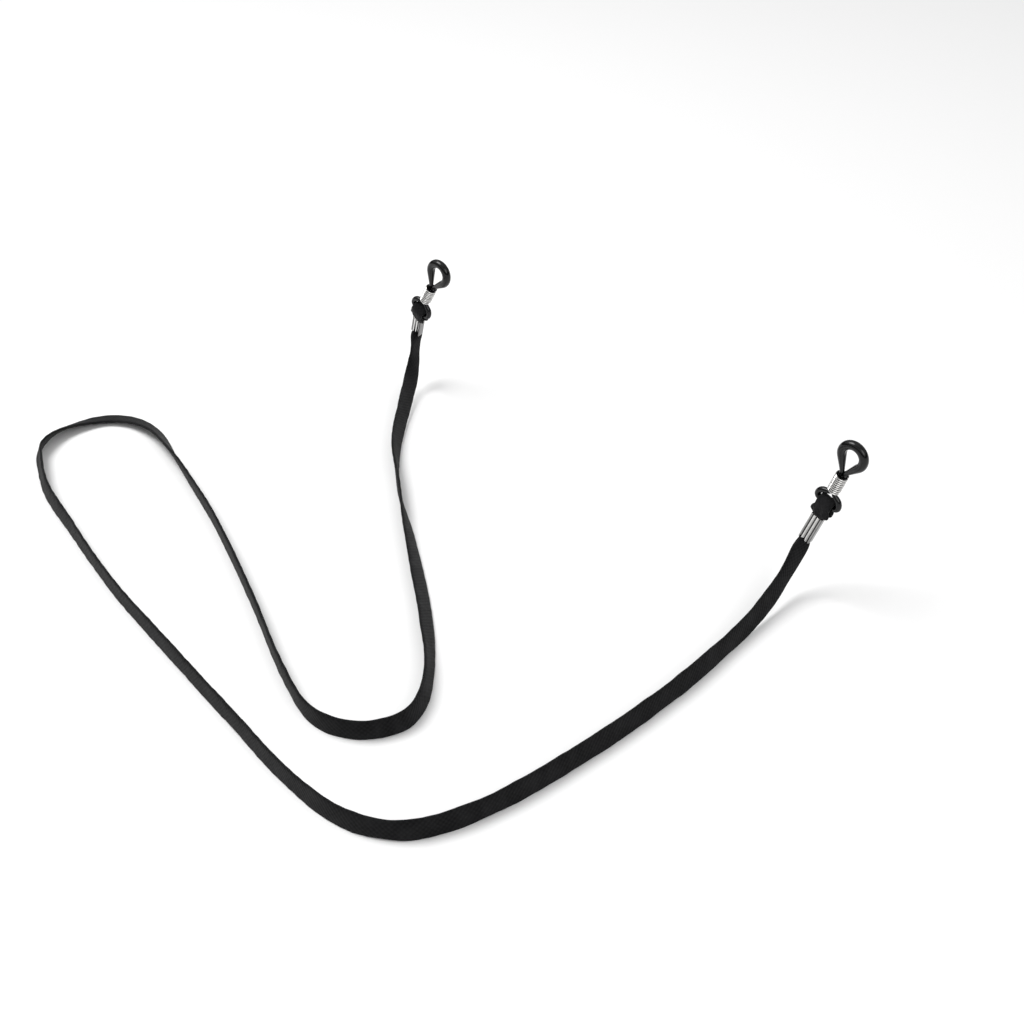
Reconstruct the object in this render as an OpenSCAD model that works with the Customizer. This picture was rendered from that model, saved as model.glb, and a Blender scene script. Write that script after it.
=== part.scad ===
// Eyeglass retainer strap: a flat woven tape between two identical end fittings.
// Each fitting is a rubber loop for one temple arm, a wire coil that tightens the loop,
// and a crimp ferrule that clamps the folded end of the tape.
// The two loops are held up, as on the temple arms, and the tape lies on a surface below them.
// Origin: centre of the right temple loop. +X to the right, +Y back along the temples, +Z up.

/* [Placement] */
// Height of the temple loops above the surface that the tape lies on
loop_height = 41.5; // [40:0.5:44]
// Centre of the left temple loop, seen from the right one
left_loop_pos = [-138.5, 5.2, 0]; // [-139:0.1:6]
// Angle of the right fitting from straight down, towards -X
right_lean = 21.5; // [20:0.5:23]
// Angle of the left fitting from straight down, towards -X
left_lean = 31; // [29:0.5:33]
// Swing of the right crimp about its eye bar, towards +Y
right_swing = -3; // [-8:1:5]
// Swing of the left crimp about its eye bar, towards +Y
left_swing = 18; // [10:1:20]

/* [Tape] */
// Width of the woven tape
tape_w = 5.2; // [4.8:0.1:5.6]
// Thickness of the woven tape
tape_t = 0.9; // [0.7:0.1:1]
// Width of the tape where it is gathered round the eye bar
gathered_w = 4.1; // [3.8:0.1:4.1]
// Width of the tape where it leaves the crown of the fold
crown_w = 2.9; // [2.6:0.1:2.9]

/* [Rubber loop] */
// Radius from the centre of the temple loop to the middle of its cord
ring_r = 2.98; // [2.95:0.01:3]
// Radius of the rubber cord round the temple arm
ring_cord_r = 1.15; // [1.13:0.01:1.17]
// Radius of the smooth land that grips the temple arm
land_r = 1.95; // [1.93:0.01:1.97]
// Radius of the cord where the coil squeezes it
neck_cord_r = 0.55; // [0.5:0.01:0.55]
// Half the distance between the two cords of the neck
neck_half_gap = 0.57; // [0.56:0.005:0.58]
// Radius of the cord round the lower eye
eye_cord_r = 0.75; // [0.7:0.05:0.75]
// Half the width of the lower eye, to the middle of its cord
eye_half_w = 3.1; // [3.05:0.05:3.2]
// Radius of the bend at each lower corner of the eye
eye_corner_r = 0.9; // [0.85:0.05:0.9]
// Radius of the bend above each lower corner, where the legs turn in to the neck
eye_knee_r = 2.1; // [2:0.1:2.2]

/* [Wire coil] */
// Radius of the coil's wire
wire_r = 0.21; // [0.18:0.01:0.22]
// Radius of the hole through the coil
coil_bore_r = 1.22; // [1.2:0.01:1.25]
// Rise of the wire in one turn
coil_pitch = 0.6; // [0.58:0.01:0.62]
// Number of turns
coil_turns = 9; // [7:1:9]

/* [Crimp] */
// Width of the crimp
crimp_w = 3.3; // [3.2:0.1:3.6]
// Thickness of the crimp
crimp_t = 2.3; // [2.3:0.1:2.5]
// Length of the crimp
crimp_len = 8.3; // [7:0.1:9]
// Wall of the crimp
crimp_wall = 0.3; // [0.25:0.01:0.32]
// Radius of the crimp's corners
crimp_corner_r = 0.6; // [0.5:0.05:0.7]
// Number of flutes on each broad face
flutes = 3; // [2:1:3]

/* [Hidden] */

// Heights down the fitting, from the centre of the temple loop
neck_top = 5.3;
neck_end = 12.75;
eye_bar = 16.2;
coil_start = 6;

// Depths below the eye bar, along the crimp
crimp_top = 4.4;
crimp_end = crimp_top + crimp_len;
tail_end = crimp_end - 0.1;
fit_gap = 0.03;
bar_gap = 0.1;

// Depths below the eye bar at which the fold's two layers start, leave the crown, are widest
// and are gathered again
layer_start = 0.3;
crown_end = 1;
spread_start = 2.1;
spread_end = 3.1;
gather_end = crimp_top - 0.1;
spread_w = tape_w - 0.2;

tail_w = crimp_w - 2 * crimp_wall - 2 * fit_gap;
tail_t = crimp_t - 2 * crimp_wall - 2 * fit_gap;
channel_r = eye_cord_r + bar_gap;
fold_r = channel_r + tape_t;
layer_r = fold_r - 0.05;

corner_proud = 0.03;

flute_r = 0.35;
flute_depth = 0.15;
flute_step = 0.95;
seam_w = 0.16;
seam_depth = 0.15;

wire_sides = 8;
steps_per_turn = 16;
rings_per_span = 2;
round_fn = 48;

// Middle line of the tape between the crimps, right to left: x, y, the height of its lower edge
// above the surface, and the lean of its upper edge to the right of the way it runs, in degrees
tape_route = [
  [-11.5, -5.5, 5, 8],
  [-10.5, -14, 1.7, 14],
  [-9, -28, 0, 10],
  [-7.5, -52, 0, 10],
  [-8.5, -80, 0, 10],
  [-12, -106, 0, 6],
  [-18, -122, 0, 5],
  [-26, -129, 0, 5],
  [-37, -131.5, 0, 5],
  [-54, -130, 0, 4],
  [-77, -125.5, 0, 3],
  [-107, -119.5, 0, 2],
  [-137, -113, 0, 0],
  [-163, -105.5, 0, 4],
  [-184, -99, 0, 10],
  [-197.5, -92, 0, 16],
  [-205, -86.5, 0, 26],
  [-209, -77, 0, 55],
  [-206.5, -66, 0, 78],
  [-199, -60.5, 0, 73],
  [-188, -60.5, 0, 52],
  [-174.5, -65, 0, 24],
  [-161, -70, 0, 9],
  [-138, -79, 0, 2],
  [-107, -93.5, 0, 0],
  [-78, -108, 0, 0],
  [-62, -113.5, 0, 0],
  [-51, -110.5, 0, 0],
  [-45.5, -102, 0, -6],
  [-47.5, -93.5, 0, -12],
  [-55, -84, 0, -19],
  [-67, -73, 0, -35],
  [-82, -61, 0, -38],
  [-99, -48, 0, -26],
  [-115, -36, 0, 0],
  [-130, -22.5, 0.3, -20],
  [-142.5, -7.5, 0.8, -28],
  [-151.5, 5, 4, -28]
];

function unit(v) = v / norm(v);

// Height of the tape's middle when its lower edge touches the surface
function edge_height(lean) = tape_w / 2 * cos(lean) + tape_t / 2 * abs(sin(lean));

// Way down a fitting's crimp, and a point on it below the eye bar
function fitting_dir(lean, swing) =
  [-cos(swing) * sin(lean), sin(swing), -cos(swing) * cos(lean)];
function fitting_point(centre, lean, swing, below_bar) =
  centre + eye_bar * [-sin(lean), 0, -cos(lean)] + below_bar * fitting_dir(lean, swing);

right_dir = fitting_dir(right_lean, right_swing);
left_dir = fitting_dir(left_lean, left_swing);
right_exit = fitting_point([0, 0, 0], right_lean, right_swing, tail_end);
left_exit = fitting_point(left_loop_pos, left_lean, left_swing, tail_end);

// Lean that lines the tape's width up with the eye bar of a fitting
function upright(t) = unit([0, 0, 1] - t[2] * t);
function end_lean(t, lean) =
  let (bar = [-cos(lean), 0, sin(lean)])
  atan2(bar * cross(t, upright(t)), bar * upright(t));

// How far beyond each exit the route's outermost point lies
reach = 7;
function with_lift(p, lean) = [p[0], p[1], p[2] + loop_height - edge_height(lean), lean];
right_end_lean = end_lean(right_dir, right_lean);
left_end_lean = end_lean(-left_dir, left_lean);
route = concat(
  [with_lift(right_exit - reach * right_dir, right_end_lean)],
  [with_lift(right_exit, right_end_lean)],
  tape_route,
  [with_lift(left_exit, left_end_lean)],
  [with_lift(left_exit - reach * left_dir, left_end_lean)]
);
spans = len(route) - 3;
last_ring = spans * rings_per_span;

// Smooth curve through the route: each span is a cubic with the slopes of its neighbours
function blend4(a, b, c, d, u) =
  0.5 * (2 * b + (c - a) * u + (2 * a - 5 * b + 4 * c - d) * u * u
  + (3 * b - a - 3 * c + d) * u * u * u);
function along(i) =
  let (k = min(floor(i / rings_per_span), spans - 1), u = i / rings_per_span - k)
  blend4(route[k], route[k + 1], route[k + 2], route[k + 3], u);

function middle(i) =
  let (p = along(i))
  [p[0], p[1], p[2] + edge_height(p[3]) - loop_height];
function heading(i) =
  i == 0 ? right_dir : i == last_ring ? -left_dir : unit(middle(i + 1) - middle(i - 1));

// The tape is squeezed in the crimps and opens to its full width within two rings
function from_end(i) = min(i, last_ring - i);
function open_share(i) = min(from_end(i), 2) / 2;
function ring_w(i) = tail_w + (tape_w - tail_w) * open_share(i);
function ring_t(i) = tail_t + (tape_t - tail_t) * open_share(i);

// Eight corners of a flat section with soft edges, as shares of its half width and half thickness
section = [
  [1, 0.5], [0.88, 1], [-0.88, 1], [-1, 0.5],
  [-1, -0.5], [-0.88, -1], [0.88, -1], [1, -0.5]
];
sides = len(section);

function tape_ring(i) =
  let (
    t = heading(i),
    up = upright(t),
    lean = along(i)[3],
    across = cos(lean) * up + sin(lean) * cross(t, up),
    face = cross(t, across)
  )
  [for (s = section) middle(i) + s[0] * ring_w(i) / 2 * across + s[1] * ring_t(i) / 2 * face];

// Skin of a tube whose rings have n corners: quads between rings and a flat cap at each end
function tube_faces(rings, n) = concat(
  [[for (j = [n - 1:-1:0]) j]],
  [[for (j = [0:n - 1]) (rings - 1) * n + j]],
  [
    for (i = [0:rings - 2], j = [0:n - 1])
      let (a = i * n + j, b = i * n + (j + 1) % n)
      [a, b, b + n, a + n]
  ]
);

module strap_tape() {
  rings = [for (i = [0:last_ring]) each tape_ring(i)];
  color("#202020") polyhedron(rings, tube_faces(last_ring + 1, sides), convexity = 12);
}

// Puts a piece made round the temple loop, hanging along -Z, on the right or left fitting
module on_right() {
  rotate([0, right_lean, 0]) children();
}

module on_left() {
  translate(left_loop_pos) rotate([0, left_lean, 0]) children();
}

// Puts a piece made round the eye bar, hanging along -Z, below the bar
module below_bar(swing) {
  translate([0, 0, -eye_bar]) rotate([swing, 0, 0]) children();
}

// Ball over a joint of the rubber cord, a little proud so that no two end faces meet exactly
module cord_joint(at, cord_r) {
  translate([at[0], 0, at[1]])
    sphere(r = cord_r + corner_proud, $fn = round_fn);
}

// A straight piece of cord between two points of the XZ plane, with a slightly proud ball
// at its first end, which rounds the corner there
module cord_run(from, to, r_from, r_to) {
  run = to - from;
  translate([from[0], 0, from[1]]) rotate([0, atan2(run[0], run[1]), 0])
    cylinder(h = norm(run), r1 = r_from, r2 = r_to, $fn = round_fn);
  cord_joint(from, r_from);
}

// A bend of the cord in the XZ plane, from one angle round a centre through a sweep
module cord_bend(centre, bend_r, start, sweep, cord_r) {
  translate([centre[0], 0, centre[1]]) rotate([90, 0, 0]) rotate([0, 0, start])
    rotate_extrude(angle = sweep, $fn = round_fn * 2)
      translate([bend_r, 0]) circle(r = cord_r, $fn = round_fn);
}

// Half the opening of the ring, where straight shoulders leave it for the neck
corner_distance = norm([neck_half_gap, neck_top]);
open_half = acos(ring_r / corner_distance) + atan(neck_half_gap / neck_top);
ring_start = open_half - 90;

// One side of the loop below the ring: shoulder, neck, leg and lower corner of the eye
module loop_side() {
  shoulder = ring_r * [sin(open_half), -cos(open_half)];
  neck_start = [neck_half_gap, -neck_top];
  neck_stop = [neck_half_gap, -neck_end];
  corner_height = eye_corner_r - eye_bar;
  corner_centre = [eye_half_w - eye_corner_r, corner_height];
  knee_centre = [eye_half_w - eye_knee_r, corner_height];
  to_neck = neck_stop - knee_centre;
  knee_sweep = atan2(to_neck[1], to_neck[0]) - acos(eye_knee_r / norm(to_neck));
  knee_end = knee_centre + eye_knee_r * [cos(knee_sweep), sin(knee_sweep)];
  cord_run(neck_start, shoulder, neck_cord_r, ring_cord_r);
  cord_run(neck_stop, neck_start, neck_cord_r, neck_cord_r);
  cord_run(neck_stop, knee_end, neck_cord_r, eye_cord_r);
  cord_bend(knee_centre, eye_knee_r, 0, knee_sweep, eye_cord_r);
  cord_bend(corner_centre, eye_corner_r, -90, 90, eye_cord_r);
  cord_joint(shoulder, ring_cord_r);
  cord_joint(knee_end, eye_cord_r);
  cord_joint([eye_half_w, corner_height], eye_cord_r);
  cord_joint([eye_half_w - eye_corner_r, -eye_bar], eye_cord_r);
}

// Rubber loop: ring round the temple, neck of two cords, and an eye with a straight bar
module rubber_loop() {
  color("#0c0c0e")
    difference() {
      union() {
        cord_bend([0, 0], ring_r, ring_start, 180 - 2 * ring_start, ring_cord_r);
        loop_side();
        mirror([1, 0, 0]) loop_side();
        translate([0, 0, -eye_bar]) rotate([0, 90, 0])
          cylinder(h = 2 * (eye_half_w - eye_corner_r), r = eye_cord_r, center = true, $fn = round_fn);
      }
      rotate([90, 0, 0])
        cylinder(h = 4 * ring_cord_r, r = land_r, center = true, $fn = round_fn * 2);
    }
}

// Close-wound wire coil round the neck
module coil() {
  wind_r = coil_bore_r + wire_r;
  steps = coil_turns * steps_per_turn;
  wire = [
    for (i = [0:steps])
      let (a = i * 360 / steps_per_turn, z = -coil_start - wire_r - i * coil_pitch / steps_per_turn)
      for (j = [0:wire_sides - 1])
        let (b = j * 360 / wire_sides, r = wind_r + wire_r * cos(b))
        [r * cos(a), r * sin(a), z + wire_r * sin(b)]
  ];
  color("#c9ccd0") polyhedron(wire, tube_faces(steps + 1, wire_sides), convexity = 20);
}

module rounded_bar(w, t, r) {
  square([w - 2 * r, t], center = true);
  square([w, t - 2 * r], center = true);
  for (x = [-1, 1], y = [-1, 1])
    translate([x * (w / 2 - r), y * (t / 2 - r)]) circle(r = r, $fn = round_fn);
}

// Folded metal ferrule with flutes along both broad faces and a seam at the back
module crimp() {
  color("#d4d6da")
    translate([0, 0, -crimp_end]) linear_extrude(height = crimp_len)
      difference() {
        rounded_bar(crimp_w, crimp_t, crimp_corner_r);
        square([crimp_w - 2 * crimp_wall, crimp_t - 2 * crimp_wall], center = true);
        for (k = [0:flutes - 1], y = [-1, 1])
          translate([(k - (flutes - 1) / 2) * flute_step, y * (crimp_t / 2 + flute_r - flute_depth)])
            circle(r = flute_r, $fn = round_fn);
        translate([-seam_w / 2 - flute_step / 2, crimp_t / 2 - seam_depth])
          square([seam_w, 2 * seam_depth]);
      }
}

// Tape folded round the eye bar: a crowned wrap, then two layers that widen below the bar
// and are gathered into the crimp
module tape_fold() {
  spread = spread_w / 2;
  gathered = gathered_w / 2;
  crown = crown_w / 2;
  tail = tail_w / 2;
  tail_half_t = tail_t / 2;
  color("#242424")
    difference() {
      union() {
        rotate([0, 90, 0])
          rotate_extrude($fn = round_fn * 2)
            polygon([
              [0, -gathered], [channel_r, -gathered], [fold_r, -crown],
              [fold_r, crown], [channel_r, gathered], [0, gathered]
            ]);
        intersection() {
          rotate([90, 0, 90])
            linear_extrude(height = tape_w, center = true)
              polygon([
                [-layer_r, -layer_start], [-tail_half_t, -crimp_top], [-tail_half_t, -tail_end],
                [tail_half_t, -tail_end], [tail_half_t, -crimp_top], [layer_r, -layer_start]
              ]);
          rotate([90, 0, 0])
            linear_extrude(height = 4 * fold_r, center = true)
              polygon([
                [-crown, 0], [-crown, -crown_end], [-spread, -spread_start],
                [-spread, -spread_end], [-tail, -gather_end], [-tail, -tail_end],
                [tail, -tail_end], [tail, -gather_end], [spread, -spread_end],
                [spread, -spread_start], [crown, -crown_end], [crown, 0]
              ]);
        }
      }
      rotate([0, 90, 0])
        cylinder(h = 2 * tape_w, r = channel_r, center = true, $fn = round_fn);
    }
}

strap_tape();
on_right() below_bar(right_swing) tape_fold();  // right_tape_fold
on_right() below_bar(right_swing) crimp();  // right_crimp
on_right() rubber_loop();  // right_rubber_loop
on_right() coil();  // right_coil
on_left() below_bar(left_swing) tape_fold();  // left_tape_fold
on_left() below_bar(left_swing) crimp();  // left_crimp
on_left() rubber_loop();  // left_rubber_loop
on_left() coil();  // left_coil
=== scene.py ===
import math

import bpy
import numpy as np
from mathutils import Matrix


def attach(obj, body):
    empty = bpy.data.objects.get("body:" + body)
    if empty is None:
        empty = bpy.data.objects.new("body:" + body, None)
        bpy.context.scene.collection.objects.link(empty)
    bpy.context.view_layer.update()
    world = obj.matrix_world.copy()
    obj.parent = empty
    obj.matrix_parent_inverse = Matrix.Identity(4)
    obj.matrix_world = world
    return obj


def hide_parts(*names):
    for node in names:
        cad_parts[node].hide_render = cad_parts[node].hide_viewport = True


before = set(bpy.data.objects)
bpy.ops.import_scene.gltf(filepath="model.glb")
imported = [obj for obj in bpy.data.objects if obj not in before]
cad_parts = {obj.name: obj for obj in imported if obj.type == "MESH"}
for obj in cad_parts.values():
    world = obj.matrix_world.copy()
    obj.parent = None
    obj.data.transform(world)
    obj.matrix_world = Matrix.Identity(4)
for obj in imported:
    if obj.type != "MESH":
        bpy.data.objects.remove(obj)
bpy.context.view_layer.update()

mm = 0.001
print("frame loaded:", len(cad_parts), "nodes")


def unit(v):
    return v / np.linalg.norm(v, axis=-1, keepdims=True)


def smoothStep(x, low, high):
    t = np.clip((x - low) / (high - low), 0, 1)
    return t * t * (3 - 2 * t)


def softNoise(s, seed, waves, lengths):
    # sum of sine waves of random phase, whose wavelengths lie between the two lengths
    rng = np.random.default_rng(seed)
    total = np.zeros_like(s)
    for _ in range(waves):
        period = rng.uniform(*lengths)
        total += np.sin(2 * np.pi * s / period + rng.uniform(0, 2 * np.pi))
    return total / math.sqrt(waves)


def gridQuads(rows, cols, closeRows):
    # corner numbers of the quads of a grid of points, joined round each row, and from the last
    # row to the first where asked
    r, c = np.meshgrid(np.arange(rows if closeRows else rows - 1), np.arange(cols), indexing="ij")
    r2, c2 = (r + 1) % rows, (c + 1) % cols
    quads = np.stack([r * cols + c, r * cols + c2, r2 * cols + c2, r2 * cols + c], -1)
    return quads.reshape(-1, 4)


def facesIn(grid, quads):
    # true where the skin is inside out: the sum of the small volumes under its faces is negative
    p = grid.reshape(-1, 3) - grid.reshape(-1, 3).mean(0)
    a, b, c, d = (p[quads[:, k]] for k in range(4))
    return np.sum(a * (np.cross(b, c) + np.cross(c, d))) < 0


def meshPiece(name, grid, material, closeRows=False, uv=None, paintedShade=None):
    # grid is rows x cols x 3, closed round each row; open ends get a flat cap;
    # the shade values say how much painted shade the material puts on each point, 0 to 1: on the crimp it
    # grows with the depth in a groove and on the rounded corners, on the coil where the turns face inwards
    rows, cols = grid.shape[:2]
    quads = gridQuads(rows, cols, closeRows)
    if facesIn(grid, quads):
        grid = grid[:, ::-1]
        uv = None if uv is None else uv[:, ::-1]
        paintedShade = None if paintedShade is None else paintedShade[:, ::-1]
    loops = [quads.ravel()]
    sizes = [np.full(len(quads), 4)]
    if not closeRows:
        loops += [np.arange(cols)[::-1], np.arange(cols) + (rows - 1) * cols]
        sizes += [np.array([cols, cols])]
    loops, sizes = np.concatenate(loops), np.concatenate(sizes)
    starts = np.concatenate([[0], np.cumsum(sizes)[:-1]])
    mesh = bpy.data.meshes.new(name)
    mesh.vertices.add(rows * cols)
    mesh.vertices.foreach_set("co", grid.reshape(-1).astype(np.float32))
    mesh.loops.add(len(loops))
    mesh.loops.foreach_set("vertex_index", loops.astype(np.int32))
    mesh.polygons.add(len(sizes))
    mesh.polygons.foreach_set("loop_start", starts.astype(np.int32))
    mesh.update(calc_edges=True)
    if uv is not None:
        layer = mesh.uv_layers.new(name="alongAcross")
        layer.data.foreach_set("uv", uv.reshape(-1, 2)[loops].reshape(-1).astype(np.float32))
    if paintedShade is not None:
        layer = mesh.attributes.new("paintedShade", "FLOAT", "POINT")
        layer.data.foreach_set("value", paintedShade.reshape(-1).astype(np.float32))
    mesh.validate()
    mesh.shade_smooth()
    piece = bpy.data.objects.new(name, mesh)
    bpy.context.scene.collection.objects.link(piece)
    mesh.materials.append(material)
    return piece


def standsFor(piece, node, body):
    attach(piece, body)
    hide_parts(node)


def evenly(points, step=None, closed=False, count=None):
    # the same line with points evenly apart, and how far along it each one is
    line = np.vstack([points, points[:1]]) if closed else points
    far = np.concatenate([[0], np.cumsum(np.linalg.norm(np.diff(line[:, :3], axis=0), axis=1))])
    count = count or int(round(far[-1] / step))
    s = np.linspace(0, far[-1], count, endpoint=not closed)
    return np.stack([np.interp(s, far, line[:, k]) for k in range(line.shape[1])], 1), s


def carried(line, across, face, x, y):
    # a section of offsets x and y (rows x cols), carried along a line by its two side directions
    return line[:, None] + x[..., None] * across[:, None] + y[..., None] * face[:, None]


def blurred(values, width):
    # Gaussian average round a closed line, width in samples
    reach = int(3 * width) + 1
    offsets = np.arange(-reach, reach + 1)
    weights = np.exp(-0.5 * (offsets / width) ** 2)
    weights /= weights.sum()
    index = (np.arange(len(values))[:, None] + offsets) % len(values)
    return np.einsum("ij...,j->i...", values[index], weights)


def placed(name, data, axes, position):
    # a new object whose own x, y and z point along the three axes
    place = np.eye(4)
    place[:3, :3] = np.array(axes).T
    place[:3, 3] = position
    item = bpy.data.objects.new(name, data)
    item.matrix_world = Matrix(place.tolist())
    bpy.context.scene.collection.objects.link(item)
    return item


cameraSetting = {
    "position": (0.1851, -0.3020, 0.2193),
    "target": (-0.0860, -0.0232, -0.0410),
    "roll": -1.9,  # degrees
    "lens": 63.3,
    "sensor": 36.0,
    "nearest": 0.01,
}


def makeCamera(c):
    data = bpy.data.cameras.new("camera")
    data.lens, data.sensor_width = c["lens"], c["sensor"]
    data.clip_start = c["nearest"]
    back = unit(np.array(c["position"]) - np.array(c["target"]))
    right = unit(np.cross([0, 0, 1], back))
    up = np.cross(back, right)
    a = math.radians(c["roll"])
    turned = [math.cos(a) * right + math.sin(a) * up, math.cos(a) * up - math.sin(a) * right, back]
    bpy.context.scene.camera = placed("camera", data, turned, c["position"])


makeCamera(cameraSetting)
print("camera placed")


def hexColor(text):
    srgb = np.array([int(text[i:i + 2], 16) for i in (1, 3, 5)]) / 255
    linear = np.where(srgb <= 0.04045, srgb / 12.92, ((srgb + 0.055) / 1.055) ** 2.4)
    return (*linear.tolist(), 1.0)


def addNode(tree, kind, settings=None, links=None):
    # settings: attribute or input name -> value; links: input name -> output socket
    node = tree.nodes.new(kind)
    for key, value in (settings or {}).items():
        if isinstance(key, str) and hasattr(node, key):
            setattr(node, key, value)
        else:
            node.inputs[key].default_value = value
    for key, socket in (links or {}).items():
        tree.links.new(socket, node.inputs[key])
    return node


def newMaterial(name):
    material = bpy.data.materials.new(name)
    material.use_nodes = True
    tree = material.node_tree
    tree.nodes.clear()
    return material, tree


def finished(tree, settings, links):
    # the shader of a material, joined to its output
    shader = addNode(tree, "ShaderNodeBsdfPrincipled", settings, links)
    addNode(tree, "ShaderNodeOutputMaterial", links={"Surface": shader.outputs[0]})


# woven polyester tape: dull spun yarn in a plain weave, soft light on its crowns, no shine
tapeFinish = {
    "yarn": "#19191A",
    "gap": "#0D0D0E",
    "worn": "#1F1F20",
    "pitch": 0.62,  # mm between yarns; real ones are finer, and would not show
    "fuzz": 1900.0,  # to the metre: loose fibres about 0.5 mm apart
    "patch": 240.0,  # to the metre: worn patches about 4 mm across
    "relief": 0.12,  # mm
    "roughness": 0.92,
    "shine": 0.08,
    "sheen": 0.06,
}


def wovenPolyester(f):
    material, tree = newMaterial("wovenPolyester")
    uv = addNode(tree, "ShaderNodeUVMap", {"uv_map": "alongAcross"})
    part = addNode(tree, "ShaderNodeSeparateXYZ", links={0: uv.outputs[0]})
    turn = math.pi / f["pitch"]
    waves = []
    for k in (0, 1):
        angle = addNode(tree, "ShaderNodeMath", {"operation": "MULTIPLY", 1: turn}, {0: part.outputs[k]})
        waves.append(addNode(tree, "ShaderNodeMath", {"operation": "SINE"}, {0: angle.outputs[0]}))
    weave = addNode(tree, "ShaderNodeMath", {"operation": "MULTIPLY"},
                    {0: waves[0].outputs[0], 1: waves[1].outputs[0]})
    crown = addNode(tree, "ShaderNodeMapRange", {"From Min": -1.0, "From Max": 1.0},
                    {"Value": weave.outputs[0]})
    place = addNode(tree, "ShaderNodeTexCoord")
    fuzz = addNode(tree, "ShaderNodeTexNoise", {"Scale": f["fuzz"], "Detail": 3.0, "Roughness": 0.6},
                   {"Vector": place.outputs["Object"]})
    patch = addNode(tree, "ShaderNodeTexNoise", {"Scale": f["patch"], "Detail": 2.0},
                    {"Vector": place.outputs["Object"]})
    shade = addNode(tree, "ShaderNodeMix", {"data_type": "RGBA"}, {"Factor": crown.outputs[0]})
    shade.inputs[6].default_value = hexColor(f["gap"])
    shade.inputs[7].default_value = hexColor(f["yarn"])
    spots = addNode(tree, "ShaderNodeMapRange", {"From Min": 0.42, "From Max": 0.75},
                    {"Value": patch.outputs[0]})
    color = addNode(tree, "ShaderNodeMix", {"data_type": "RGBA"},
                    {"Factor": spots.outputs[0], 6: shade.outputs[2]})
    color.inputs[7].default_value = hexColor(f["worn"])
    height = addNode(tree, "ShaderNodeMath", {"operation": "MULTIPLY_ADD", 1: 0.7},
                     {0: fuzz.outputs[0], 2: crown.outputs[0]})
    bump = addNode(tree, "ShaderNodeBump", {"Strength": 0.6, "Distance": f["relief"] * mm},
                   {"Height": height.outputs[0]})
    finished(tree, {"Roughness": f["roughness"], "IOR": 1.5, "Specular IOR Level": f["shine"],
                    "Sheen Weight": f["sheen"], "Sheen Roughness": 0.5},
             {"Base Color": color.outputs[2], "Normal": bump.outputs[0]})
    return material


# moulded silicone rubber cord: black through, smooth skin with a soft gloss and fine scuffs
rubberFinish = {
    "black": "#050506",
    "scuff": "#0D0D0F",
    "grain": 0.25,  # mm
    "relief": 0.02,  # mm
    "roughness": (0.14, 0.26),
}


def mouldedRubber(f):
    material, tree = newMaterial("mouldedRubber")
    place = addNode(tree, "ShaderNodeTexCoord")
    scale = 1 / (f["grain"] * mm)
    grain = addNode(tree, "ShaderNodeTexNoise", {"Scale": scale, "Detail": 3.0},
                    {"Vector": place.outputs["Object"]})
    scuffs = addNode(tree, "ShaderNodeTexNoise", {"Scale": scale / 8, "Detail": 4.0, "Roughness": 0.7},
                     {"Vector": place.outputs["Object"]})
    amount = addNode(tree, "ShaderNodeMapRange", {"From Min": 0.5, "From Max": 0.8},
                     {"Value": scuffs.outputs[0]})
    color = addNode(tree, "ShaderNodeMix", {"data_type": "RGBA"}, {"Factor": amount.outputs[0]})
    color.inputs[6].default_value = hexColor(f["black"])
    color.inputs[7].default_value = hexColor(f["scuff"])
    rough = addNode(tree, "ShaderNodeMapRange",
                    {"To Min": f["roughness"][0], "To Max": f["roughness"][1]},
                    {"Value": scuffs.outputs[0]})
    bump = addNode(tree, "ShaderNodeBump", {"Strength": 0.05, "Distance": f["relief"] * mm},
                   {"Height": grain.outputs[0]})
    finished(tree, {"IOR": 1.43, "Specular IOR Level": 0.45},
             {"Base Color": color.outputs[2], "Roughness": rough.outputs[0],
              "Normal": bump.outputs[0]})
    return material


# nickel-plated steel: pressed sheet for the crimps, drawn wire for the coils
plateFinish = {
    "nickel": "#D6D5D3",
    "dull": "#BDBCBA",
    # groove is a painted shade colour, for the flutes' hollows and the rounded corners
    "groove": "#1C1C1E",
    "lines": 0.08,  # mm between polishing lines
    "roughness": (0.05, 0.12),
}
wireFinish = {
    "nickel": "#DEDDDB",
    "dull": "#B4B3B2",
    # groove is a painted shade colour, for where the turns face each other and the rubber
    "groove": "#303032",
    "lines": 0.05,
    "roughness": (0.10, 0.20),
}


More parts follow.
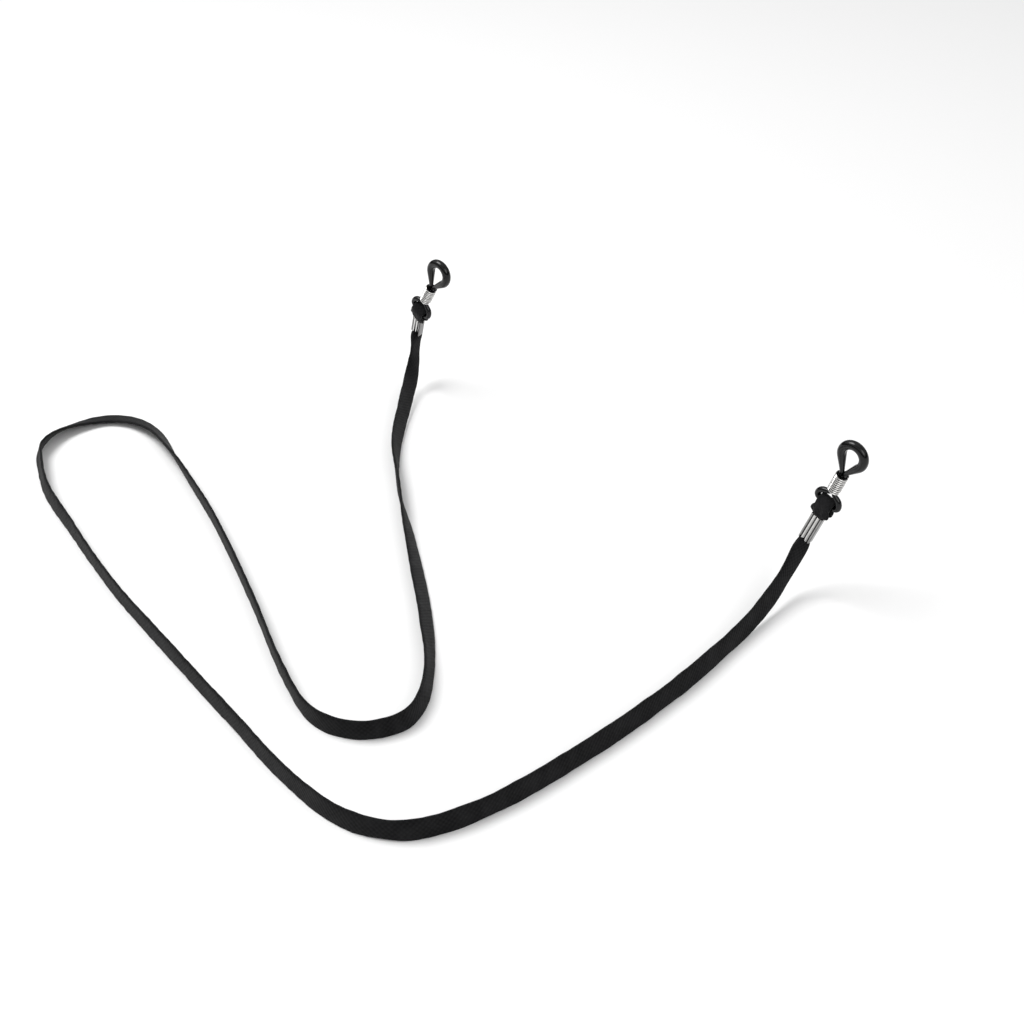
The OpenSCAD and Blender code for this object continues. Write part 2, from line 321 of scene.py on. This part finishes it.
def nickelPlate(name, f):
    material, tree = newMaterial(name)
    place = addNode(tree, "ShaderNodeTexCoord")
    scale = 1 / (f["lines"] * mm)
    lines = addNode(tree, "ShaderNodeTexNoise", {"Scale": scale, "Detail": 2.0},
                    {"Vector": place.outputs["Object"]})
    cloud = addNode(tree, "ShaderNodeTexNoise", {"Scale": scale / 20, "Detail": 3.0},
                    {"Vector": place.outputs["Object"]})
    wear = addNode(tree, "ShaderNodeMapRange", {"From Min": 0.45, "From Max": 0.8},
                   {"Value": cloud.outputs[0]})
    color = addNode(tree, "ShaderNodeMix", {"data_type": "RGBA"}, {"Factor": wear.outputs[0]})
    color.inputs[6].default_value = hexColor(f["nickel"])
    color.inputs[7].default_value = hexColor(f["dull"])
    rough = addNode(tree, "ShaderNodeMapRange",
                    {"To Min": f["roughness"][0], "To Max": f["roughness"][1]},
                    {"Value": lines.outputs[0]})
    bump = addNode(tree, "ShaderNodeBump", {"Strength": 0.02, "Distance": 0.000004},
                   {"Height": lines.outputs[0]})
    # a stand-in for reflections and shade, painted into the colour: grooves and corners are tinted where
    # polished ones would mirror a dark room, and a coil's turns where they shade each other
    paintedShade = addNode(tree, "ShaderNodeAttribute", {"attribute_name": "paintedShade"})
    tinted = addNode(tree, "ShaderNodeMix", {"data_type": "RGBA"},
                    {"Factor": paintedShade.outputs["Fac"], 6: color.outputs[2]})
    tinted.inputs[7].default_value = hexColor(f["groove"])
    finished(tree, {"Metallic": 1.0},
             {"Base Color": tinted.outputs[2], "Roughness": rough.outputs[0],
              "Normal": bump.outputs[0]})
    return material


tapeMaterial = wovenPolyester(tapeFinish)
rubberMaterial = mouldedRubber(rubberFinish)
plateMaterial = nickelPlate("nickelPlatedSheet", plateFinish)
wireMaterial = nickelPlate("nickelPlatedWire", wireFinish)
print("materials made")


# where the two fittings are, as in the CAD model
fitting = {
    "right": {"loop": (0, 0, 0), "lean": 21.5, "swing": -3},
    "left": {"loop": (-0.1385, 0.0052, 0), "lean": 31, "swing": 18},
    "eyeBar": 16.2 * mm,  # from the centre of the temple loop down to the bar in the fold
    "crimpTop": 4.4 * mm,  # from the bar down to the crimp
    "tailEnd": 12.6 * mm,  # from the bar down to where the free tape starts
    "reach": 9 * mm,  # how far up the fitting the line that the tape leaves it on is taken
}
sides = ("right", "left")


def fittingAxes(side, swing=False):
    # rows: along the eye bar, through the tape's thickness, up the fitting
    lean = math.radians(fitting[side]["lean"])
    bar = np.array([math.cos(lean), 0, -math.sin(lean)])
    up = np.array([math.sin(lean), 0, math.cos(lean)])
    back = np.array([0.0, 1.0, 0.0])
    if swing:
        a = math.radians(fitting[side]["swing"])
        back, up = math.cos(a) * back + math.sin(a) * up, math.cos(a) * up - math.sin(a) * back
    return np.array([bar, back, up])


def onLoop(side, points):
    # points measured from the centre of the temple loop, put on that fitting
    return points @ fittingAxes(side) + np.array(fitting[side]["loop"])


def onBar(side, points):
    # points measured from the eye bar, put on that fitting's crimp and fold
    bar = onLoop(side, np.array([0, 0, -fitting["eyeBar"]]))
    return points @ fittingAxes(side, True) + bar


tapeShape = {
    "width": 5.2 * mm,
    "thickness": 0.9 * mm,
    "crimpedWidth": 2.64 * mm,
    "crimpedThickness": 1.64 * mm,
    "opensOver": 5 * mm,  # from the crimp's mouth to full width
    "surface": -41.5 * mm,
    "cutLength": 0.692,
    "wander": 0.07 * mm,  # how far the edges stray
    "cup": 0.13 * mm,  # how far the face bows across its width
    "ripple": 0.035 * mm,
    "step": 0.45 * mm,
    "sectionPoints": 44,
}

# x, y, height of the lower edge above the surface, and lean to the right in degrees
tapeRoute = [
    (-0.0115, -0.0055, 0.005, 8),
    (-0.0105, -0.014, 0.0017, 14),
    (-0.009, -0.028, 0, 10),
    (-0.0075, -0.052, 0, 10),
    (-0.0085, -0.08, 0, 10),
    (-0.012, -0.106, 0, 6),
    (-0.018, -0.122, 0, 5),
    (-0.026, -0.129, 0, 5),
    (-0.037, -0.1315, 0, 5),
    (-0.054, -0.13, 0, 4),
    (-0.077, -0.1255, 0, 3),
    (-0.107, -0.1195, 0, 2),
    (-0.137, -0.113, 0, 0),
    (-0.163, -0.1055, 0, 4),
    (-0.184, -0.099, 0, 10),
    (-0.1975, -0.092, 0, 16),
    (-0.205, -0.0865, 0, 26),
    (-0.209, -0.077, 0, 55),
    (-0.2065, -0.066, 0, 78),
    (-0.199, -0.0605, 0, 73),
    (-0.188, -0.0605, 0, 52),
    (-0.1745, -0.065, 0, 24),
    (-0.161, -0.07, 0, 9),
    (-0.138, -0.079, 0, 2),
    (-0.107, -0.0935, 0, 0),
    (-0.078, -0.108, 0, 0),
    (-0.062, -0.1135, 0, 0),
    (-0.051, -0.1105, 0, 0),
    (-0.0455, -0.102, 0, -6),
    (-0.0475, -0.0935, 0, -12),
    (-0.055, -0.084, 0, -19),
    (-0.067, -0.073, 0, -35),
    (-0.082, -0.061, 0, -38),
    (-0.099, -0.048, 0, -26),
    (-0.115, -0.036, 0, 0),
    (-0.13, -0.0225, 0.0003, -20),
    (-0.1425, -0.0075, 0.0008, -28),
    (-0.1515, 0.005, 0.004, -28),
]


def edgeHeight(lean):
    # height of the tape's middle when its lower edge touches the surface
    a = np.radians(lean)
    return tapeShape["width"] / 2 * np.cos(a) + tapeShape["thickness"] / 2 * np.abs(np.sin(a))


def upright(t):
    return unit(np.array([0, 0, 1]) - t[..., 2:3] * t)


def routeEnd(side, heading):
    # the last two points of the route on a fitting, with the lean that lines up with the eye bar
    place = onBar(side, np.array([0, 0, -fitting["tailEnd"]]))
    down = -fittingAxes(side, True)[2]
    bar = -fittingAxes(side)[0]
    t = down * heading
    up = upright(t)
    lean = math.degrees(math.atan2(bar @ np.cross(t, up), bar @ up))
    points = []
    for p in (place, place - fitting["reach"] * down):
        points.append((p[0], p[1], p[2] - tapeShape["surface"] - float(edgeHeight(lean)), lean))
    return points


def tapeLine():
    # each span is a cubic whose end slopes come from the points beside it (Catmull-Rom)
    rightEnd, leftEnd = routeEnd("right", 1), routeEnd("left", -1)
    knots = np.array([rightEnd[1], rightEnd[0], *tapeRoute, leftEnd[0], leftEnd[1]])
    u = np.linspace(0, 1, 40, endpoint=False)[:, None]
    spans = []
    for a, b, c, d in zip(knots, knots[1:], knots[2:], knots[3:]):
        spans.append(0.5 * (2 * b + (c - a) * u + (2 * a - 5 * b + 4 * c - d) * u ** 2
                            + (3 * b - a - 3 * c + d) * u ** 3))
    line = np.vstack([*spans, knots[-2:-1]])
    line[:, 2] += edgeHeight(line[:, 3]) + tapeShape["surface"]
    return evenly(line, tapeShape["step"])


def tapeUv(s, a, across, width):
    # mm along the tape and mm round its section, where the back starts 1.2 half widths further on
    around = np.where(a <= np.pi, 1 - across, across + 3.2)
    return np.stack(np.broadcast_arrays(s[:, None] / mm, around[None] * width / 2 / mm), -1)


def makeTape(t):
    line, s = tapeLine()
    centre, lean = line[:, :3], np.radians(line[:, 3:4])
    along = unit(np.gradient(centre, axis=0))
    up = upright(along)
    across = np.cos(lean) * up + np.sin(lean) * np.cross(along, up)
    face = np.cross(along, across)
    fromEnd = np.minimum(s, s[-1] - s)
    opened = smoothStep(fromEnd, 0, t["opensOver"]) ** 0.55  # wide soon after the crimp
    halfWidth = (t["crimpedWidth"] + (t["width"] - t["crimpedWidth"]) * opened) / 2
    halfThick = (t["crimpedThickness"] + (t["thickness"] - t["crimpedThickness"]) * opened) / 2
    # section: a flat oval, |x|^n + |y|^n = 1 with a large n across the width
    a = np.linspace(0, 2 * np.pi, t["sectionPoints"], endpoint=False)
    x = np.sign(np.cos(a)) * np.abs(np.cos(a)) ** 0.55
    y = np.sign(np.sin(a)) * np.abs(np.sin(a)) ** 0.42
    # the edges wander a little and the face cups and ripples slightly, once the tape has opened out of the
    # crimp
    wander = t["wander"] * softNoise(s, 11, 9, (9 * mm, 34 * mm)) * opened
    cup = t["cup"] * softNoise(s, 12, 6, (24 * mm, 90 * mm)) * opened
    ripple = t["ripple"] * softNoise(s, 13, 7, (3 * mm, 7 * mm)) * opened
    wide = x[None] * halfWidth[:, None] + (wander[:, None] * np.abs(x[None]) ** 3 * np.sign(x[None]))
    thick = y[None] * halfThick[:, None] + cup[:, None] * (x[None] ** 2 - 0.4) + ripple[:, None] * x[None]
    grid = carried(centre, across, face, wide, thick)
    grid[..., 2] = np.maximum(grid[..., 2], t["surface"])
    uv = tapeUv(s, a, x, t["width"])
    piece = meshPiece("wovenTape", grid, tapeMaterial, uv=uv)
    standsFor(piece, "strap_tape", "strap")
    print("tape made, length", round(float(s[-1]), 4))


makeTape(tapeShape)


# rubber loop: ring round the temple, neck of two cords through the coil, eye with a straight bar
loopShape = {
    "ring": 2.98 * mm,  # to the middle of the cord
    "ringCord": 1.15 * mm,
    "land": 1.95 * mm,  # smooth inside face that grips the temple
    "neckHalfGap": 0.57 * mm,
    "neckTop": 5.3 * mm,
    "neckEnd": 12.75 * mm,
    "neckCord": 0.55 * mm,
    "eyeHalfWidth": 3.1 * mm,
    "cornerBend": 0.9 * mm,
    "kneeBend": 2.1 * mm,
    "eyeCord": 0.75 * mm,
    "easeLine": 2.5,  # steps over which its bends and its changes of thickness are eased
    "easeCord": 6,
    "step": 0.1 * mm,
    "sectionPoints": 36,
}


def bend(centre, radius, start, stop, cord):
    # rows of x, z and cord radius round an arc, angles in degrees from +x towards +z
    a = np.radians(np.linspace(start, stop, 40))
    return np.stack([centre[0] + radius * np.cos(a), centre[1] + radius * np.sin(a),
                     np.full(len(a), cord)], 1)


def loopHalf(c):
    # the +x half: ring arc, straight shoulder and neck, knee, lower corner, each tangent to the next
    gap, top, ring, knee = c["neckHalfGap"], c["neckTop"], c["ring"], c["kneeBend"]
    opening = math.degrees(math.acos(ring / math.hypot(gap, top)) + math.atan(gap / top))
    level = c["cornerBend"] - fitting["eyeBar"]
    kneeX = c["eyeHalfWidth"] - knee
    toNeck = (gap - kneeX, -c["neckEnd"] - level)
    turn = math.atan2(toNeck[1], toNeck[0]) - math.acos(knee / math.hypot(*toNeck))
    return np.vstack([
        bend((0, 0), ring, 90, opening - 90, c["ringCord"]),
        [[gap, -top, c["neckCord"]], [gap, -c["neckEnd"], c["neckCord"]]],
        bend((kneeX, level), knee, math.degrees(turn), 0, c["eyeCord"]),
        bend((c["eyeHalfWidth"] - c["cornerBend"], level), c["cornerBend"], 0, -90, c["eyeCord"]),
    ])


def makeLoop(side, c):
    # a round section carried round a closed flat line; points nearer the ring's centre than the
    # land are pushed out to it
    half = loopHalf(c)
    rows, _ = evenly(np.vstack([half, (half[::-1] * [-1, 1, 1])[:-1]]), c["step"], closed=True)
    x, z = blurred(rows[:, :2], c["easeLine"]).T
    cord = blurred(rows[:, 2], c["easeCord"])
    line = np.stack([x, np.zeros_like(x), z], 1)
    along = unit(np.roll(line, -1, 0) - np.roll(line, 1, 0))
    back = np.broadcast_to([0.0, 1.0, 0.0], along.shape)
    a = np.linspace(0, 2 * np.pi, c["sectionPoints"], endpoint=False)
    grid = carried(line, np.cross(along, back), back, cord[:, None] * np.cos(a), cord[:, None] * np.sin(a))
    far = np.hypot(grid[..., 0], grid[..., 2])
    grid[..., ::2] *= (np.maximum(far, c["land"]) / far)[..., None]
    piece = meshPiece(side + "RubberLoop", onLoop(side, grid), rubberMaterial, closeRows=True)
    standsFor(piece, side + "_rubber_loop", side + "_loop")


# wire coil on the neck
coilShape = {
    "wire": 0.21 * mm,
    "bore": 1.22 * mm,
    "pitch": 0.6 * mm,
    "turns": 9,
    "start": 6 * mm,
    "stepsPerTurn": 60,
    "sectionPoints": 14,
}


def makeCoil(side, c):
    # a round wire carried down a helix, x = r cos a, y = r sin a, its two ends rounded
    a = np.linspace(0, 2 * np.pi * c["turns"], c["turns"] * c["stepsPerTurn"] + 1)
    wind = c["bore"] + c["wire"]
    line = np.stack([wind * np.cos(a), wind * np.sin(a),
                     -c["start"] - c["wire"] - c["pitch"] * a / (2 * np.pi)], 1)
    along = unit(np.gradient(line, axis=0))
    out = np.stack([np.cos(a), np.sin(a), np.zeros_like(a)], 1)
    near = np.clip(np.minimum(a, a[-1] - a) * wind / c["wire"], 0, 1)
    radius = c["wire"] * np.sqrt(np.maximum(1 - (1 - near) ** 2, 0.05))
    b = np.linspace(0, 2 * np.pi, c["sectionPoints"], endpoint=False)
    grid = carried(line, out, np.cross(along, out), radius[:, None] * np.cos(b), radius[:, None] * np.sin(b))
    # painted shade: the turns are darkened where they face each other and the rubber
    gap = np.tile(smoothStep(-np.cos(b), -0.6, 0.1), (len(line), 1))
    piece = meshPiece(side + "WireCoil", onLoop(side, grid), wireMaterial, paintedShade=gap)
    standsFor(piece, side + "_coil", side + "_slide")


# crimp: folded sheet, pressed into flutes along both broad faces, with its seam at the back
crimpShape = {
    "width": 3.3 * mm,
    "thickness": 2.3 * mm,
    "length": 8.3 * mm,
    "wall": 0.3 * mm,
    "corner": 0.6 * mm,
    "flutes": 3,
    "fluteStep": 1.0 * mm,
    "fluteDepth": 0.26 * mm,
    "fluteHalfWidth": 0.24 * mm,
    "seamDepth": 0.15 * mm,
    "seamHalfWidth": 0.06 * mm,
    "edge": 0.08 * mm,
    # how much painted shade the rounded corners get
    "paintedCornerShade": 0.8,
    "sectionPoints": 260,
}


def roundedBar(width, thickness, corner, count):
    # outline of a rectangle with round corners, its points evenly apart
    a = np.radians(np.linspace(0, 360, 80, endpoint=False))
    x = np.sign(np.cos(a)) * (width / 2 - corner) + corner * np.cos(a)
    y = np.sign(np.sin(a)) * (thickness / 2 - corner) + corner * np.sin(a)
    return evenly(np.stack([x, y], 1), closed=True, count=count)[0]


def makeCrimp(side, c):
    # outline carried down the outside and back up the inside, with rounded lips
    outer = roundedBar(c["width"], c["thickness"], c["corner"], c["sectionPoints"])
    inner = roundedBar(c["width"] - 2 * c["wall"], c["thickness"] - 2 * c["wall"],
                       c["corner"] - c["wall"], c["sectionPoints"])
    x, y = outer.T.copy()
    onFace = smoothStep(np.abs(y), c["thickness"] / 2 - 0.25 * c["corner"], c["thickness"] / 2)
    places = (np.arange(c["flutes"]) - (c["flutes"] - 1) / 2) * c["fluteStep"]
    groove = np.exp(-((x[:, None] - places) / c["fluteHalfWidth"]) ** 2).sum(1) * c["fluteDepth"]
    seam = np.exp(-((x + c["fluteStep"] / 2) / c["seamHalfWidth"]) ** 2) * c["seamDepth"] * (y > 0)
    outer[:, 1] -= np.sign(y) * onFace * (groove + seam)
    turn = smoothStep(np.abs(x), c["width"] / 2 - c["corner"], c["width"] / 2)
    # painted reflection: the flutes' hollows and the rounded corners are darkened where polished metal would
    # mirror a dark room
    dark = np.clip(onFace * groove / c["fluteDepth"] + c["paintedCornerShade"] * turn, 0, 1)
    b = np.radians(np.linspace(90, 0, 6))
    lipZ, lipIn = c["edge"] * (1 - np.sin(b)), c["edge"] * (1 - np.cos(b))
    straight = np.linspace(c["edge"], c["length"] - c["edge"], 30)[1:-1]
    outZ = np.concatenate([lipZ, straight, c["length"] - lipZ[::-1]])
    outIn = np.concatenate([lipIn, 0 * straight, lipIn[::-1]])
    depth = np.concatenate([outZ, outZ[::-1]])
    share = np.concatenate([outIn, c["wall"] - outIn[::-1]]) / c["wall"]
    grid = np.empty((len(depth), c["sectionPoints"], 3))
    grid[..., :2] = outer * (1 - share[:, None, None]) + inner * share[:, None, None]
    grid[..., 2] = -fitting["crimpTop"] - depth[:, None]
    piece = meshPiece(side + "Crimp", onBar(side, grid), plateMaterial, closeRows=True,
                      paintedShade=np.tile(dark, (len(depth), 1)))
    standsFor(piece, side + "_crimp", "strap")


# tape folded over the eye bar and gathered into the crimp
foldShape = {
    "thickness": 0.9 * mm,
    "wrapRadius": 1.36 * mm,  # middle of the tape; smoothing draws it in by a twentieth
    "crownWidth": 4.2 * mm,
    "spreadWidth": 5.2 * mm,
    "crimpedWidth": 2.6 * mm,
    "crimpedThickness": 0.8 * mm,
    "crimpedOffset": 0.42 * mm,
    "spreadsOver": (1.0 * mm, 2.5 * mm),  # depths below the bar
    "drawnFrom": 3.1 * mm,
    "pleatsOver": (-0.6 * mm, 3.2 * mm),
    "pleatDrift": 0.25,
    "lump": 0.03 * mm,
    "tailEnd": 12.5 * mm,
    "pleats": 2.5,
    "pleatDepth": 0.17 * mm,
    "step": 0.09 * mm,
    "sectionPoints": 72,
}


def foldLine(f):
    # y and z of the tape's middle: up the front of the crimp, over the bar and down the back
    a = np.radians(np.linspace(190, -10, 60))
    wrap = f["wrapRadius"] * np.stack([np.cos(a), np.sin(a)], 1)
    side = np.array([[f["crimpedOffset"], -f["tailEnd"]],
                     [f["crimpedOffset"], -fitting["crimpTop"] - 0.2 * mm],
                     [1.05 * mm, -2.3 * mm]])
    line, _ = evenly(np.vstack([side * [-1, 1], wrap, side[::-1]]), f["step"])
    padded = np.vstack([np.repeat(line[:1], 20, 0), line, np.repeat(line[-1:], 20, 0)])
    return blurred(padded, 4)[20:-20]


def makeFold(side, f, seed):
    # a flat oval section carried over the bar; across the width the tape waves in pleats,
    # y = depth cos(pi n v), which are deepest where it is drawn into the crimp
    y, z = foldLine(f).T
    line = np.stack([np.zeros_like(y), y, z], 1)
    along = unit(np.gradient(line, axis=0))
    bar = np.broadcast_to([1.0, 0.0, 0.0], along.shape)
    face = np.cross(along, bar)
    s = np.concatenate([[0], np.cumsum(np.linalg.norm(np.diff(line, axis=0), axis=1))])
    depth = -z
    spread = smoothStep(depth, *f["spreadsOver"])
    drawn = smoothStep(depth, f["drawnFrom"], fitting["crimpTop"] + 0.1 * mm)
    width = f["crownWidth"] + (f["spreadWidth"] - f["crownWidth"]) * spread
    width = width * (1 - drawn) + f["crimpedWidth"] * drawn
    thickness = f["thickness"] * (1 - drawn) + f["crimpedThickness"] * drawn
    a = np.linspace(0, 2 * np.pi, f["sectionPoints"], endpoint=False)
    v = np.sign(np.cos(a)) * np.abs(np.cos(a)) ** 0.5
    h = np.sign(np.sin(a)) * np.abs(np.sin(a)) ** 0.5
    bulge = smoothStep(depth, *f["pleatsOver"]) * (1 - drawn)
    phase = f["pleatDrift"] * softNoise(s, seed, 4, (8 * mm, 16 * mm))
    pleat = f["pleatDepth"] * bulge[:, None] * np.cos(np.pi * f["pleats"] * v + phase[:, None])
    lump = f["lump"] * softNoise(s, seed + 1, 5, (5 * mm, 11 * mm)) * bulge
    x = v * (width / 2 + lump)[:, None]
    grid = carried(line, bar, face, x, h * thickness[:, None] / 2 + pleat)
    uv = tapeUv(s, a, v, f["spreadWidth"])
    piece = meshPiece(side + "TapeFold", onBar(side, grid), tapeMaterial, uv=uv)
    standsFor(piece, side + "_tape_fold", "strap")


for number, side in enumerate(sides):
    makeLoop(side, loopShape)
    makeCoil(side, coilShape)
    makeCrimp(side, crimpShape)
    makeFold(side, foldShape, 21 + 10 * number)
    print(side, "fitting made")

# pale floor and soft light
stageSetting = {"floor": "#F4F4F4", "size": 6.0, "height": tapeShape["surface"]}
# position, diameter and watts of each round softbox, which all face one point
softboxes = {
    "keySoftbox": ((-0.45, -0.25, 0.75), 0.5, 5.5),
    "fillSoftbox": ((0.7, -0.3, 0.5), 0.6, 2.2),
}
lightTarget = (-0.08, -0.05, 0)


def makeFloor(f):
    h = f["size"] / 2
    mesh = bpy.data.meshes.new("floor")
    mesh.from_pydata([(-h, -h, f["height"]), (h, -h, f["height"]), (h, h, f["height"]),
                      (-h, h, f["height"])], [], [(0, 1, 2, 3)])
    floor = bpy.data.objects.new("floor", mesh)
    bpy.context.scene.collection.objects.link(floor)
    material, tree = newMaterial("paintedFloor")
    finished(tree, {"Roughness": 0.9, "Specular IOR Level": 0.1, "Base Color": hexColor(f["floor"])}, {})
    mesh.materials.append(material)


def makeLight(name, position, size, power):
    data = bpy.data.lights.new(name, "AREA")
    data.shape, data.size, data.energy = "DISK", size, power
    back = unit(np.array(position) - np.array(lightTarget))
    right = unit(np.cross([0, 1, 0.01], back))
    placed(name, data, [right, np.cross(back, right), back], position)


# studio: height above the horizon (sine) and how bright the room is there
roomLight = [(0.0, 0.03), (0.22, 0.04), (0.34, 0.55), (0.62, 0.75), (0.8, 0.35), (1.0, 0.95)]


def makeWorld(levels):
    # dark walls low down, bright panels higher up with a dim gap between them and the ceiling
    world = bpy.data.worlds.new("studio")
    world.use_nodes = True
    tree = world.node_tree
    tree.nodes.clear()
    place = addNode(tree, "ShaderNodeTexCoord")
    part = addNode(tree, "ShaderNodeSeparateXYZ", links={0: place.outputs["Generated"]})
    ramp = addNode(tree, "ShaderNodeValToRGB", links={0: part.outputs[2]})
    stops = ramp.color_ramp.elements
    while len(stops) < len(levels):
        stops.new(0.5)
    for stop, (height, level) in zip(stops, levels):
        stop.position, stop.color = height, (level, level, level, 1)
    shader = addNode(tree, "ShaderNodeBackground", {"Strength": 1.0}, {"Color": ramp.outputs[0]})
    addNode(tree, "ShaderNodeOutputWorld", links={"Surface": shader.outputs[0]})
    bpy.context.scene.world = world


makeFloor(stageSetting)
for name, setting in softboxes.items():
    makeLight(name, *setting)
makeWorld(roomLight)
bpy.context.scene.view_settings.view_transform = "Standard"
print("floor and light made")
